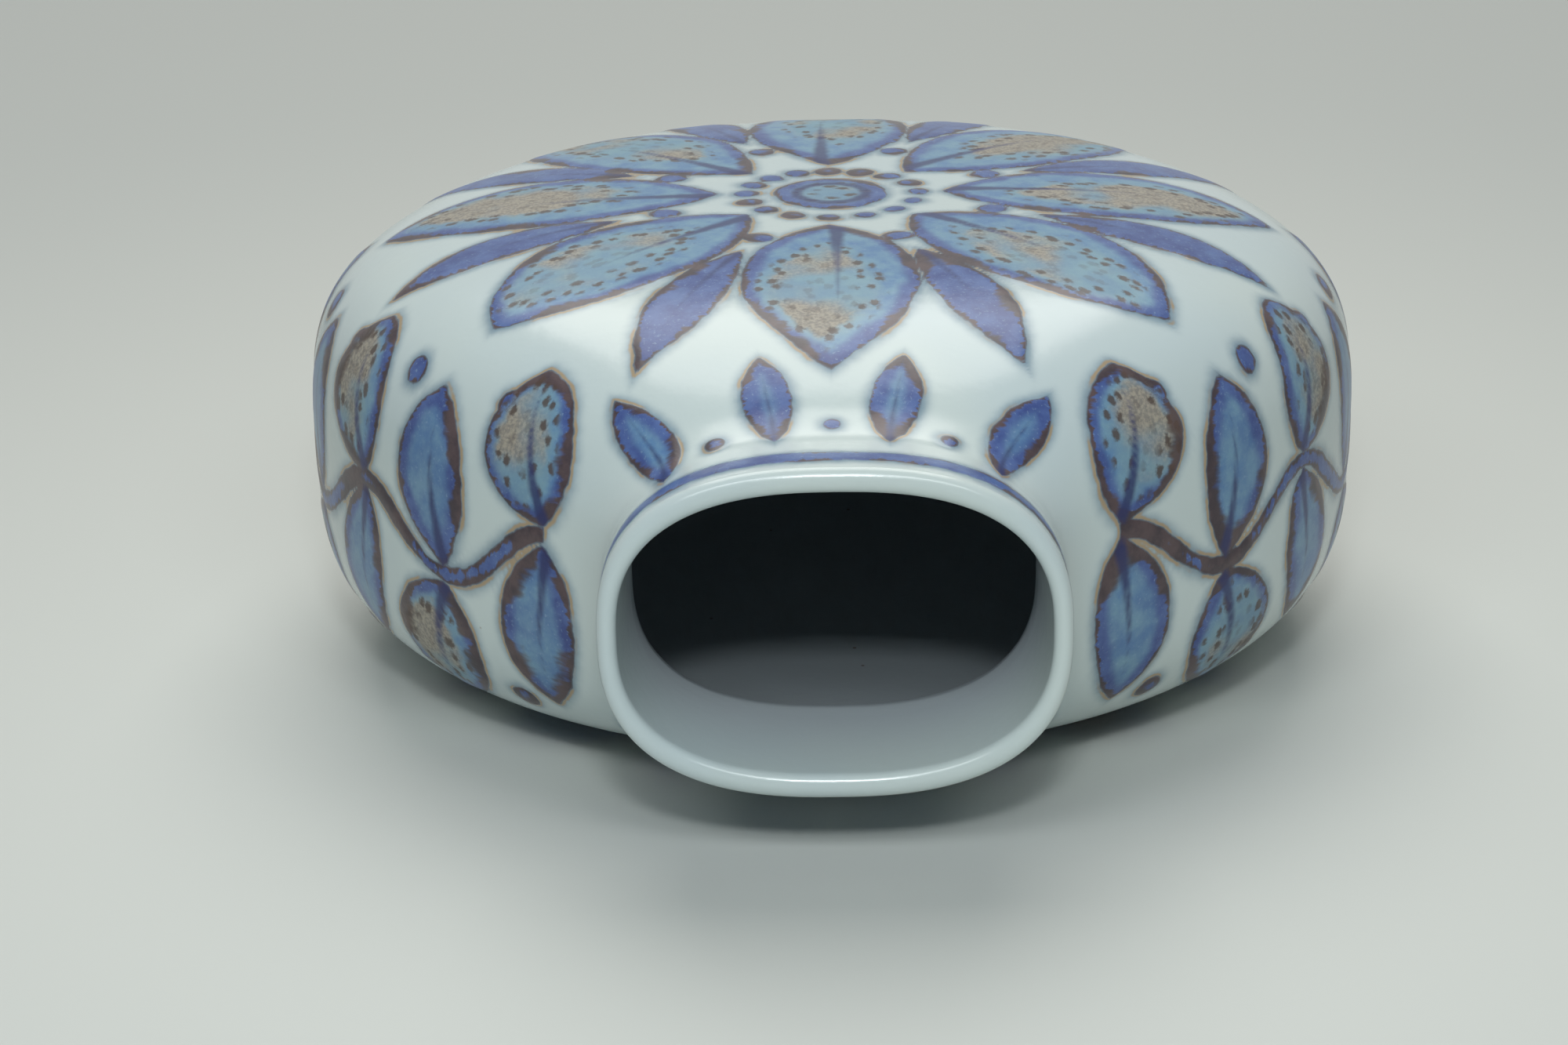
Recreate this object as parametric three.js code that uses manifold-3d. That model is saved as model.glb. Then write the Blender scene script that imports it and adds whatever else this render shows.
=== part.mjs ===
// A pillow-shaped faience flower vase: a flattened oval body with gently crowned faces, a short oval neck
// with a rounded lip, and a low oval foot ring. Two moulded half shells are luted edge to edge along the
// widest line, with the neck collar luted on above and the foot ring below.
import * as THREE from "three";
import { mergeVertices } from "three/addons/utils/BufferGeometryUtils.js";
import Module from "manifold-3d";

const wasm = await Module();
wasm.setup();

// Driving dimensions in millimetres. The vase is drawn standing: x across, y from back to front, z up.
const HEIGHT = 188;
const WIDTH = 190;
const DEPTH = 85;
const WALL = 5;
const LUTE_GAP = 0.3;

// The body, widest at its middle height. Its outline is an ellipse from the front. From the side, and in
// its sections, the crown says how far the faces stay flat and the edge how full the rounded edge is.
const BODY_MIDDLE = 84.8;
const BODY_HALF_HEIGHT = 84.6;
const BASE_HEIGHT = 3.5;
const FLOOR_HEIGHT = 9;
const ELLIPSE = 2;
const FACE_CROWN = 4;
const EDGE_FULLNESS = 3.45;

// The neck, with half widths across x and half depths along y, and its lip.
const NECK_HALF_WIDTH = 37.3;
const NECK_HALF_DEPTH = 27.9;
const NECK_SQUARENESS = 2.53;
const NECK_JOIN_HEIGHT = 166;
const LIP_FLARE = 0.8;
const LIP_ROUNDING = 1.8;
const LIP_SIDE_THICKNESS = 3.2;
const LIP_FACE_THICKNESS = 4.2;
const BORE_HALF_WIDTH = 33.5;
const BORE_HALF_DEPTH = 24.2;

// The sweep from body to neck, as the width over which the corner is filled, across and through the vase.
const SHOULDER_START = 142;
const OUTER_FILL = { across: 30, through: 13 };
const INNER_FILL = { across: 14, through: 6 };

// The foot ring.
const FOOT_HALF_WIDTH = 37;
const FOOT_HALF_DEPTH = 27;
const FOOT_TOP = 8;
const FOOT_RING_WIDTH = 7;
const FOOT_FLARE = 1.5;
const FOOT_EASED_EDGE = 0.8;

// Fineness of the facets.
const AROUND = 56;
const BODY_BANDS = 21;
const NECK_BANDS = 12;
const LIP_BANDS = 6;

const faience = new THREE.MeshStandardMaterial({ color: 0xc9d8dc, roughness: 0.18, metalness: 0 });
const bareClay = new THREE.MeshStandardMaterial({ color: 0xd9cdb8, roughness: 0.8, metalness: 0 });

const { lerp, clamp } = THREE.MathUtils;

// The larger of two numbers, with the corner between them filled over the given blend width.
function smoothMax(a, b, blend) {
  const near = Math.max(blend - Math.abs(a - b), 0);
  return Math.max(a, b) + (near * near) / (4 * blend);
}

// The pillow's oval section at height z, or its inside's if inset by the wall. Two powers shape the oval:
// |x / halfWidth| ^ widthPower + |y / halfDepth| ^ depthPower = 1.
function pillow(z, inset) {
  const rise = clamp(Math.abs(z - BODY_MIDDLE) / (BODY_HALF_HEIGHT - inset), 0, 1);
  return {
    z,
    halfWidth: (WIDTH / 2 - inset) * (1 - rise ** ELLIPSE) ** (1 / ELLIPSE),
    halfDepth: (DEPTH / 2 - inset) * (1 - rise ** FACE_CROWN) ** (1 / EDGE_FULLNESS),
    widthPower: lerp(FACE_CROWN, ELLIPSE, rise),
    depthPower: EDGE_FULLNESS,
  };
}

function neckOval(z, halfWidth, halfDepth) {
  return { z, halfWidth, halfDepth, widthPower: NECK_SQUARENESS, depthPower: NECK_SQUARENESS };
}

// A half size of the pillow above its middle: full * (1 - rise ^ p) ^ (1 / q), with a rise of 1 at the end.
// Past the rise at which it is as narrow as the neck, it goes on along its tangent.
function narrowing(full, neckSize, p, q, rise) {
  const neckRise = (1 - (neckSize / full) ** q) ** (1 / p);
  if (rise <= neckRise) return full * (1 - rise ** p) ** (1 / q);
  const slope = (-p / q) * neckRise ** (p - 1) * full ** q * neckSize ** (1 - q);
  return neckSize + slope * (rise - neckRise);
}

// The shoulder: above its middle, the pillow sweeps up into the neck through a filled corner.
function shoulder(z, inset, neck, fill) {
  const body = pillow(z, inset);
  if (z <= BODY_MIDDLE) return body;
  const rise = (z - BODY_MIDDLE) / (BODY_HALF_HEIGHT - inset);
  const halfWidth = narrowing(WIDTH / 2 - inset, neck.halfWidth, ELLIPSE, ELLIPSE, rise);
  const halfDepth = narrowing(DEPTH / 2 - inset, neck.halfDepth, FACE_CROWN, EDGE_FULLNESS, rise);
  const neckShare = clamp(0.5 + (neck.halfWidth - halfWidth) / (2 * fill.across), 0, 1);
  return {
    z,
    halfWidth: smoothMax(halfWidth, neck.halfWidth, fill.across),
    halfDepth: smoothMax(halfDepth, neck.halfDepth, fill.through),
    widthPower: lerp(body.widthPower, neck.widthPower, neckShare),
    depthPower: lerp(body.depthPower, neck.depthPower, neckShare),
  };
}

// The points of one oval section. Half a step of turn puts a flat facet on the middle of each face and
// edge, and the points are spread so that those facets keep the full width and depth.
function ovalPoints({ z, halfWidth, halfDepth, widthPower, depthPower }) {
  const facetReach = Math.cos(Math.PI / AROUND);
  return Array.from({ length: AROUND }, (_, i) => {
    const angle = ((i + 0.5) / AROUND) * 2 * Math.PI;
    const across = Math.cos(angle) / facetReach;
    const through = Math.sin(angle) / facetReach;
    const x = halfWidth * Math.sign(across) * Math.abs(across) ** (2 / widthPower);
    const y = halfDepth * Math.sign(through) * Math.abs(through) ** (2 / depthPower);
    return new THREE.Vector3(x, y, z);
  });
}

// A closed solid through a row of sections, with a flat cap on the first and on the last.
function loft(sections) {
  const positions = sections.flatMap(ovalPoints).flatMap((point) => point.toArray());
  const indices = [];
  for (let ring = 0; ring + 1 < sections.length; ring++) {
    for (let i = 0; i < AROUND; i++) {
      const a = ring * AROUND + i;
      const b = ring * AROUND + ((i + 1) % AROUND);
      indices.push(a, b, b + AROUND);
      indices.push(a, b + AROUND, a + AROUND);
    }
  }
  const last = (sections.length - 1) * AROUND;
  for (let i = 1; i + 1 < AROUND; i++) {
    indices.push(0, i + 1, i);
    indices.push(last, last + i, last + i + 1);
  }
  const geometry = new THREE.BufferGeometry();
  geometry.setAttribute("position", new THREE.Float32BufferAttribute(positions, 3));
  geometry.setIndex(indices);
  return geometry;
}

// Heights from one level to another, crowded towards the body's ends, where its outline turns fastest.
function bodyLevels(from, to, bands, halfHeight) {
  const start = Math.asin((from - BODY_MIDDLE) / halfHeight);
  const end = Math.asin((to - BODY_MIDDLE) / halfHeight);
  return Array.from({ length: bands + 1 }, (_, i) => {
    return BODY_MIDDLE + halfHeight * Math.sin(lerp(start, end, i / bands));
  });
}

function evenLevels(from, to, bands) {
  return Array.from({ length: bands }, (_, i) => lerp(from, to, (i + 1) / bands));
}

// The vase's wall as sections: up the outside, round the lip, and down the inside to the floor.
function wallSections() {
  const lipStart = HEIGHT - LIP_ROUNDING;
  const lipHalfWidth = NECK_HALF_WIDTH + LIP_FLARE;
  const lipHalfDepth = NECK_HALF_DEPTH + LIP_FLARE;
  const mouthHalfWidth = lipHalfWidth - LIP_SIDE_THICKNESS;
  const mouthHalfDepth = lipHalfDepth - LIP_FACE_THICKNESS;
  const upNeck = (z) => clamp((z - NECK_JOIN_HEIGHT) / (lipStart - NECK_JOIN_HEIGHT), 0, 1);
  const outside = (z) => {
    const flare = LIP_FLARE * upNeck(z) ** 2;
    const neck = neckOval(z, NECK_HALF_WIDTH + flare, NECK_HALF_DEPTH + flare);
    return shoulder(z, 0, neck, OUTER_FILL);
  };
  const overLip = (angle) => {
    const inward = (1 - Math.cos(angle)) / 2;
    const halfWidth = lerp(lipHalfWidth, mouthHalfWidth, inward);
    const halfDepth = lerp(lipHalfDepth, mouthHalfDepth, inward);
    return neckOval(lipStart + LIP_ROUNDING * Math.sin(angle), halfWidth, halfDepth);
  };
  const inside = (z) => {
    const halfWidth = lerp(BORE_HALF_WIDTH, mouthHalfWidth, upNeck(z));
    const halfDepth = lerp(BORE_HALF_DEPTH, mouthHalfDepth, upNeck(z));
    return shoulder(z, WALL, neckOval(z, halfWidth, halfDepth), INNER_FILL);
  };
  return [
    ...bodyLevels(BASE_HEIGHT, SHOULDER_START, BODY_BANDS, BODY_HALF_HEIGHT).map(outside),
    ...evenLevels(SHOULDER_START, lipStart, NECK_BANDS).map(outside),
    ...evenLevels(0, Math.PI, LIP_BANDS).map(overLip),
    ...evenLevels(lipStart, SHOULDER_START, NECK_BANDS).map(inside),
    ...bodyLevels(SHOULDER_START, FLOOR_HEIGHT, BODY_BANDS, BODY_HALF_HEIGHT - WALL).slice(1).map(inside),
  ];
}

function solid(geometry) {
  const bare = geometry.clone();
  bare.deleteAttribute("normal");
  bare.deleteAttribute("uv");
  const merged = mergeVertices(bare);
  const vertProperties = new Float32Array(merged.attributes.position.array);
  const triVerts = new Uint32Array(merged.index.array);
  return new wasm.Manifold(new wasm.Mesh({ numProp: 3, vertProperties, triVerts }));
}

function namedMesh(name, manifold, material) {
  const { vertProperties, triVerts } = manifold.getMesh();
  const geometry = new THREE.BufferGeometry();
  geometry.setAttribute("position", new THREE.BufferAttribute(vertProperties, 3));
  geometry.setIndex(new THREE.BufferAttribute(triVerts, 1));
  geometry.computeVertexNormals();
  const mesh = new THREE.Mesh(geometry, material);
  mesh.name = name;
  return mesh;
}

// A block, wider than the vase, between two depths and two heights. It cuts the wall at its joins.
function block(fromY, toY, fromZ, toZ) {
  const box = new THREE.BoxGeometry(2 * WIDTH, toY - fromY, toZ - fromZ);
  return solid(box.translate(0, (fromY + toY) / 2, (fromZ + toZ) / 2));
}

const wall = solid(loft(wallSections()));
const halfGap = LUTE_GAP / 2;

function frontShell() {
  const half = wall.intersect(block(halfGap, DEPTH, 0, NECK_JOIN_HEIGHT - halfGap));
  return namedMesh("front_shell", half, faience);
}

function backShell() {
  const half = wall.intersect(block(-DEPTH, -halfGap, 0, NECK_JOIN_HEIGHT - halfGap));
  return namedMesh("back_shell", half, faience);
}

function neckCollar() {
  const collar = wall.intersect(block(-DEPTH, DEPTH, NECK_JOIN_HEIGHT + halfGap, 2 * HEIGHT));
  return namedMesh("neck_collar", collar, faience);
}

// The foot ring: an oval band that widens upwards, its standing edges eased and its top seated on the body.
function footRing() {
  const rim = (z, outward) => neckOval(z, FOOT_HALF_WIDTH + outward, FOOT_HALF_DEPTH + outward);
  const band = loft([
    rim(0, -FOOT_EASED_EDGE),
    rim(FOOT_EASED_EDGE, 0),
    rim(FOOT_TOP, FOOT_FLARE),
  ]);
  const well = loft([
    rim(-FOOT_EASED_EDGE, 2 * FOOT_EASED_EDGE - FOOT_RING_WIDTH),
    rim(FOOT_EASED_EDGE, -FOOT_RING_WIDTH),
    rim(2 * FOOT_TOP, -FOOT_RING_WIDTH),
  ]);
  const seat = loft(
    bodyLevels(BASE_HEIGHT, BODY_MIDDLE, BODY_BANDS, BODY_HALF_HEIGHT).map((z) => {
      const body = pillow(z, 0);
      const halfWidth = body.halfWidth + LUTE_GAP;
      const halfDepth = body.halfDepth + LUTE_GAP;
      return { ...body, z: z - LUTE_GAP, halfWidth, halfDepth };
    }),
  );
  return namedMesh("foot_ring", solid(band).subtract(solid(well)).subtract(solid(seat)), bareClay);
}

// The finished vase lies on its back, with the mouth towards -y, the foot towards +y and the front face up.
const vase = new THREE.Group();
vase.add(frontShell(), backShell(), neckCollar(), footRing());
vase.rotation.x = Math.PI / 2;
vase.position.set(0, HEIGHT / 2, DEPTH / 2);

const part = new THREE.Group();
part.add(vase);

export default part;
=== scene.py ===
import math

import bpy
import numpy as np
from mathutils import Matrix, Vector


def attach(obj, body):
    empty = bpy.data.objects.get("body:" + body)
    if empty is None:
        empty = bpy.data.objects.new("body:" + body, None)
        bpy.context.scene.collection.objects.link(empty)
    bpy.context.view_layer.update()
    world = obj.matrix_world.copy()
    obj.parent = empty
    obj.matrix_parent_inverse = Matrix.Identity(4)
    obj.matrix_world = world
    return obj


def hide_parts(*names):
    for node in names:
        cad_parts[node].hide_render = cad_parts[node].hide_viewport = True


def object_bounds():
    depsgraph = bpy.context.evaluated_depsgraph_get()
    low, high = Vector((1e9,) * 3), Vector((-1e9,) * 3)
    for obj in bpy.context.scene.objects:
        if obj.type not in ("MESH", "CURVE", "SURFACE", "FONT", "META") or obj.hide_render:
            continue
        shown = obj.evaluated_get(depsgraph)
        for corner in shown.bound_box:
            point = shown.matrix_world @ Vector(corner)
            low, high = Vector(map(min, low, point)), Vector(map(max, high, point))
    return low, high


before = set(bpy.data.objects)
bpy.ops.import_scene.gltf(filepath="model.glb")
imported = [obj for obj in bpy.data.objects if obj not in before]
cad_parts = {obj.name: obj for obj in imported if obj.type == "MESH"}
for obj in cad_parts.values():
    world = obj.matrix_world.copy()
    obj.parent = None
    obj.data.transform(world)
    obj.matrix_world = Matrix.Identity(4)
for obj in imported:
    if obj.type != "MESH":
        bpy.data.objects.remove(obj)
cad_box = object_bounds()

# The body: a front and a back shell
# Two halves of one pillow-shaped body, pressed in moulds from earthenware and luted edge to edge along the
# widest line. A pale tin glaze covers both, thinner inside and greyed there partly as painted shade, and the
# brushwork has sunk into it in the kiln.

MM = 0.001  # sizes are written in millimetres, and the scene is in metres
BODY_WIDTH, HEIGHT, BODY_DEPTH = [(high - low) / MM for low, high in zip(*cad_box)]
WALL = 5.0
BASE_HEIGHT = 3.5
FLOOR_HEIGHT = 9.0
FLOOR_ROUNDING = 5.0
BODY_MIDDLE = 84.8
BODY_HALF_HEIGHT = 84.6
FACE_CROWN = 4.0
EDGE_FULLNESS = 3.45
ELLIPSE = 2.0
NECK_JOIN_HEIGHT = 166.0
NECK_SQUARENESS = 2.53
NECK_HALF_WIDTH = 37.3
NECK_HALF_DEPTH = 27.9
LIP_ROUNDING = 1.8
LIP_START = HEIGHT - LIP_ROUNDING
LIP_FLARE = 0.8
LIP_END_THICKNESS = 3.2
LIP_FACE_THICKNESS = 4.2
BORE_HALF_WIDTH = 33.5
BORE_HALF_DEPTH = 24.2
MOUTH_HALF_WIDTH = NECK_HALF_WIDTH + LIP_FLARE - LIP_END_THICKNESS
MOUTH_HALF_DEPTH = NECK_HALF_DEPTH + LIP_FLARE - LIP_FACE_THICKNESS
SHOULDER_FILL = (30.0, 13.0)  # how far the sweep into the neck reaches, across and through
BORE_FILL = (5.0, 2.0)
OUTER_GRID = (230, 361)  # levels and columns
INNER_GRID = (110, 97)
UP_THE_VASE = np.array([0.0, -1.0, 0.0])


def place(across, height, through):
    """Lays the standing vase on its back: height runs from foot to mouth along -Y, and the front faces up."""
    across, height, through = np.broadcast_arrays(across, height, through)
    return np.stack([across, HEIGHT / 2 - height, through + BODY_DEPTH / 2], axis=-1) * MM


def unit(vectors):
    """The vectors with their lengths made 1."""
    return vectors / np.linalg.norm(vectors, axis=-1, keepdims=True)


def smooth_max(first, second, blend):
    """The larger of two values, plus a parabola over the stretch where they differ by less than the blend."""
    nearness = np.maximum(blend - np.abs(first - second), 0)
    return np.maximum(first, second) + nearness**2 / (4 * blend)


def pillow(height, inset):
    """Half width, half depth and width power of the pillow's oval at each height, drawn in by the inset.

    With rise the distance from the middle over the half height, the half width is that of an ellipse, the
    root of 1 - rise^2, and the half depth is fuller, (1 - rise^4) to the power 1 / 3.45.
    """
    rise = np.clip(np.abs(height - BODY_MIDDLE) / (BODY_HALF_HEIGHT - inset), 0, 1)
    half_width = (BODY_WIDTH / 2 - inset) * np.sqrt(1 - rise**ELLIPSE)
    half_depth = (BODY_DEPTH / 2 - inset) * (1 - rise**FACE_CROWN) ** (1 / EDGE_FULLNESS)
    return half_width, half_depth, FACE_CROWN + (ELLIPSE - FACE_CROWN) * rise


def past_neck(half_size, full, neck_size, rise, rise_power, size_power):
    """A half size of the pillow, which goes on along its tangent where it would be narrower than the neck."""
    neck_rise = (1 - (neck_size / full) ** size_power) ** (1 / rise_power)
    steepness = rise_power / size_power * neck_rise ** (rise_power - 1)
    slope = -steepness * full**size_power * neck_size ** (1 - size_power)
    return np.where(rise > neck_rise, neck_size + slope * (rise - neck_rise), half_size)


def shoulder(height, inset, neck_wide, neck_deep, fill):
    """The pillow's oval, swept into the neck's above its middle: each half size is the smooth larger of two.

    The two powers move towards the neck's squareness by the share that the neck has in the half width.
    """
    fill_across, fill_through = fill
    half_width, half_depth, width_power = pillow(height, inset)
    rise = (height - BODY_MIDDLE) / (BODY_HALF_HEIGHT - inset)
    above = rise > 0
    wide = past_neck(half_width, BODY_WIDTH / 2 - inset, neck_wide, rise, ELLIPSE, ELLIPSE)
    deep = past_neck(half_depth, BODY_DEPTH / 2 - inset, neck_deep, rise, FACE_CROWN, EDGE_FULLNESS)
    share = np.where(above, np.clip(0.5 + (neck_wide - wide) / (2 * fill_across), 0, 1), 0)
    wide = np.where(above, smooth_max(wide, neck_wide, fill_across), half_width)
    deep = np.where(above, smooth_max(deep, neck_deep, fill_through), half_depth)
    width_power = width_power + (NECK_SQUARENESS - width_power) * share
    return wide, deep, width_power, EDGE_FULLNESS + (NECK_SQUARENESS - EDGE_FULLNESS) * share


def up_neck(height):
    """How far up the neck a height is, from 0 at the join to 1 where the lip starts."""
    return np.clip((height - NECK_JOIN_HEIGHT) / (LIP_START - NECK_JOIN_HEIGHT), 0, 1)


def outside(height):
    """The outer oval at a height: the pillow, swept into a neck that flares by the square of the way up."""
    flare = LIP_FLARE * up_neck(height) ** 2
    return shoulder(height, 0, NECK_HALF_WIDTH + flare, NECK_HALF_DEPTH + flare, SHOULDER_FILL)


def inside(height):
    """The inner oval at a height: the pillow less the wall, swept into a bore that widens to the lip."""
    bore_wide = BORE_HALF_WIDTH + (MOUTH_HALF_WIDTH - BORE_HALF_WIDTH) * up_neck(height)
    bore_deep = BORE_HALF_DEPTH + (MOUTH_HALF_DEPTH - BORE_HALF_DEPTH) * up_neck(height)
    return shoulder(height, WALL, bore_wide, bore_deep, BORE_FILL)


def oval(half_width, half_depth, width_power, depth_power, angle):
    """Where |x / half width|^p + |y / half depth|^q = 1, along a ray at each angle in the oval's proportions.

    Repeated steps along the tangent find the ray's length for the whole array at once.
    """
    tangent_steps = 14
    cosine = np.abs(np.cos(angle))
    sine = np.abs(np.sin(angle))
    reach = np.ones(np.broadcast_shapes(np.shape(half_width), np.shape(angle)))
    for _ in range(tangent_steps):
        wide = (reach * cosine) ** width_power
        deep = (reach * sine) ** depth_power
        reach = reach - reach * (wide + deep - 1) / (width_power * wide + depth_power * deep)
    return half_width * reach * np.cos(angle), half_depth * reach * np.sin(angle)


def run_lengths(*sides):
    """The length travelled up to each point of a curve, whose coordinates are the sides."""
    return np.concatenate([[0], np.cumsum(np.hypot(*[np.diff(side) for side in sides]))])


def even_heights(section, low, high, count):
    """Heights between two ends that split the wall's run up a section into equal lengths."""
    samples = 6000
    fine = low + (high - low) * (1 - np.cos(np.linspace(0, math.pi, samples))) / 2
    wide, deep = section(fine)[:2]
    run = np.hypot(np.diff(fine), np.maximum(np.abs(np.diff(wide)), np.abs(np.diff(deep))))
    travelled = np.concatenate([[0], np.cumsum(run)])
    return np.interp(np.linspace(0, travelled[-1], count), travelled, fine)


def past_ends(values):
    """A row of values with one more at each end, a step past it."""
    return np.concatenate([[2 * values[0] - values[1]], values, [2 * values[-1] - values[-2]]])


def trimmed(grid):
    """A grid without the step past its borders."""
    return grid[1:-1, 1:-1]


def outward_normals(points):
    """Unit normals of a grid of points, from the cross product of its central differences."""
    return unit(np.cross(np.gradient(points, axis=1), np.gradient(points, axis=0)))


def grid_quads(index):
    """Four corners of every cell of a grid of point numbers, so that a wall drawn upwards faces out."""
    corners = [index[:-1, :-1], index[:-1, 1:], index[1:, 1:], index[1:, :-1]]
    return np.stack(corners, axis=-1).reshape(-1, 4)


def make_piece(name, points, normals, quads, paint, finish, caps=()):
    """A mesh object from points, quads and flat caps, with one number per point for each layer of paint.

    The quads take the points' own normals, so that light runs unbroken over a join, and the caps stay flat.
    """
    sizes = np.concatenate([np.full(len(quads), 4), [len(cap) for cap in caps]]).astype(np.int32)
    corners = np.concatenate([quads.ravel(), *caps]).astype(np.int32)
    points, normals = points.reshape(-1, 3), normals.reshape(-1, 3)
    mesh = bpy.data.meshes.new(name)
    mesh.vertices.add(len(points))
    mesh.vertices.foreach_set("co", points.astype(np.float32).ravel())
    mesh.loops.add(len(corners))
    mesh.loops.foreach_set("vertex_index", corners)
    mesh.polygons.add(len(sizes))
    mesh.polygons.foreach_set("loop_start", np.cumsum(sizes) - sizes)
    mesh.polygons.foreach_set("use_smooth", np.arange(len(sizes)) < len(quads))
    mesh.update(calc_edges=True)
    corner_normals = normals[corners]
    corner_normals[quads.size :] = 0
    mesh.normals_split_custom_set(corner_normals)
    for layer, values in paint.items():
        attribute = mesh.attributes.new(layer, "FLOAT", "POINT")
        attribute.data.foreach_set("value", values.astype(np.float32).ravel())
    mesh.materials.append(finish)
    piece = bpy.data.objects.new(name, mesh)
    bpy.context.collection.objects.link(piece)
    return piece


# The brushwork on the body
# A wheel of pointed petals fills each face, a leafy vine runs along the luted edge and a garland hangs from
# the neck, brushed on the raw glaze in cobalt and iron brown. Each shape is a signed depth, positive inside.

UNPAINTED = -60.0  # a depth far outside every shape
CHART_STEP = 130.0  # keeps the charts of neighbouring shapes apart

WHEEL_PETALS = 8
EYE_RADIUS = 9.5
EYE_HEART_RADIUS = 4.4
EYE_LINE_RADIUS = 5.6
EYE_LINE_HALF_WIDTH = 0.9
EYE_BEADS_OUT = 14.6
EYE_BEAD_RADIUS = 2.2
SLIM_PETAL_START = 38.0
SLIM_PETAL = {"length": 42.0, "half_width": 5.6}
SLIM_PETAL_VEIN = {"half_width": 0.8, "taper": 0.04}
GAP_BEADS_OUT = 30.0
GAP_BEAD_RADIUS = 2.6
PETAL_START = 19.0
PETAL = {"length": 58.0, "half_width": 14.2}
PETAL_HEART_START = 33.0
PETAL_HEART_ASIDE = 1.5
PETAL_HEART = {"length": 38.0, "half_width": 8.4}
MIDRIB_START = 20.0
MIDRIB_ASIDE = -1.2
MIDRIB = {"half_width": 1.5, "taper": 0.05}

VINE_START = math.radians(68)
VINE_WAVE = 47.0
VINE_SWING = 6.5
VINE_BAYS = 8
STEM_HALF_WIDTH = 1.5
SANDY_LEAF = (28.0, 9.6, 0.24, 0.95)  # length, half width, tilt in radians and tone
BLUE_LEAF = (33.0, 8.2, 0.1, 0.6)
LEAF_STALK = 1.2
LEAF_BEND = 1.6
LEAF_HEART_START = 5.0
LEAF_HEART_ASIDE = 1.2
LEAF_HEART_SHORTER = 8.0
LEAF_HEART_NARROWER = 3.4
LEAF_VEIN_ASIDE = -0.8
LEAF_VEIN = {"half_width": 1.3, "taper": 0.06}
BERRY_OFF = 27.5
BERRY_RADIUS = 2.6

GARLAND_TOP = 175.0
GARLAND_SPACING = math.radians(28)
GARLAND_SPREAD = 0.55
GARLAND_LEAF_START = 2.5
GARLAND_LEAF = {"length": 27.0, "half_width": 4.7}
GARLAND_VEIN = {"half_width": 0.9, "taper": 0.05}
GARLAND_BEAD_BELOW = 7.0
GARLAND_BEAD_OUT = 4.0
GARLAND_BEAD_RADIUS = 1.7

WHEEL_SWAY = 0.5  # how far the brush strays, for each part of the design
VINE_SWAY_ALONG = 0.4
VINE_SWAY_OFF = 0.45
GARLAND_SWAY = 0.4
STROKE_SWAY = 0.12


class Brushwork:
    """What is painted on a surface, as one number per point for each layer.

    edge_mm, heart_mm and line_mm are signed depths in the shapes, their pale hearts and their dark lines.
    run_mm and side_mm are the place on the shape's own chart. The tone goes from 0, a full brush, to 1, a
    thin sky blue, and rim is how brown the edge burns. The thin-coat layer is 1 inside, where the glaze lies
    thin and its colour is greyed, partly as painted shade of the hollow.
    """

    def __init__(self, shape):
        depths, places = ("edge_mm", "heart_mm", "line_mm"), ("run_mm", "side_mm", "tone", "rim", "thin_coat_and_shade")
        self.layers = {name: np.full(shape, UNPAINTED) for name in depths}
        self.layers.update({name: np.zeros(shape) for name in places})

    def shape(self, depth, chart, tone, rim, heart=UNPAINTED, line=UNPAINTED):
        """Adds a shape, with a heart or line kept inside it, as the larger of the depths at each point."""
        nearer = depth > self.layers["edge_mm"]
        for name, value in (("run_mm", chart[0]), ("side_mm", chart[1]), ("tone", tone), ("rim", rim)):
            self.layers[name] = np.where(nearer, value, self.layers[name])
        for name, value in (("edge_mm", depth), ("heart_mm", heart), ("line_mm", line)):
            self.layers[name] = np.maximum(self.layers[name], np.minimum(value, depth))


def almond(along, aside, length, half_width):
    """Depth inside a leaf that points both ways: the space shared by two circles that cross at its ends."""
    radius = (length**2 / 4 + half_width**2) / (2 * half_width)
    return radius - np.hypot(along - length / 2, np.abs(aside) + radius - half_width)


def bead(along, aside, radius):
    """Depth inside a round dab of the brush: its radius less the distance from its middle."""
    return radius - np.hypot(along, aside)


def tapered_line(along, aside, half_width, taper):
    """Depth inside a line whose half width shrinks by the taper for each millimetre along it."""
    return half_width - np.abs(aside) - taper * along


def spoke(radius, angle, count, turn):
    """Distances along and aside from the nearest of so many even spokes, and that spoke's own chart.

    The angle is folded into one spoke's share.
    """
    share = 2 * math.pi / count
    number = np.floor((angle - turn) / share + 0.5)
    folded = angle - turn - number * share
    along, aside = radius * np.cos(folded), radius * np.sin(folded)
    return along, aside, (along + number * CHART_STEP, aside)


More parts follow.
